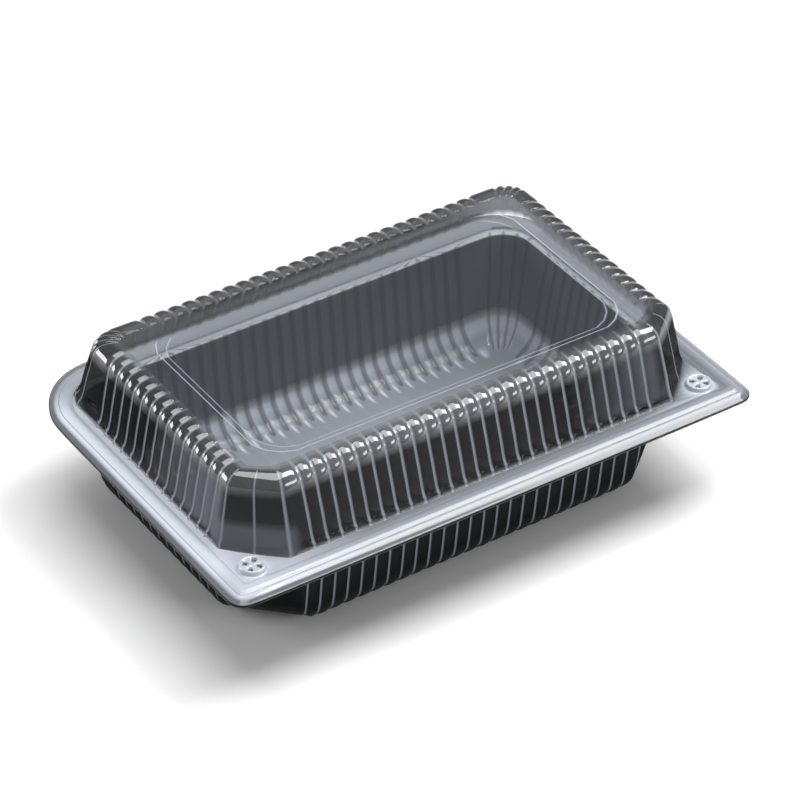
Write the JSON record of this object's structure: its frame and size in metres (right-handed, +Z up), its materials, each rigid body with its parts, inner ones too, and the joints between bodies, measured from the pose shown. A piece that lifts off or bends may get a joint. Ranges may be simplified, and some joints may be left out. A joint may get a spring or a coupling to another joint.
{
  "type": "hinged food container",
  "caption": "Clear vacuum-formed clamshell pack: a deep tray and a domed lid with fluted walls, one hinged edge, a flat rim and snap buttons.",
  "frame": {"origin": "middle of the tray's foot print, on the surface that the pack stands on", "axes": "+X along the long side, -Y towards the opening edge with the buttons, +Z up"},
  "size_m": [0.201, 0.138, 0.065],
  "materials": {
    "tray_sheet": "clear, glossy",
    "lid_sheet": "clear, glossy"
  },
  "bodies": {
    "tray": {"tray": "tray_sheet"},
    "lid": {"lid": "lid_sheet"}
  },
  "joints": [
    {"name": "lid_hinge", "type": "hinge", "parent": "tray", "child": "lid", "pos_m": [0, 0.0681, 0.03913], "axis": [-1, 0, 0], "range_deg": [0, 180]}
  ]
}
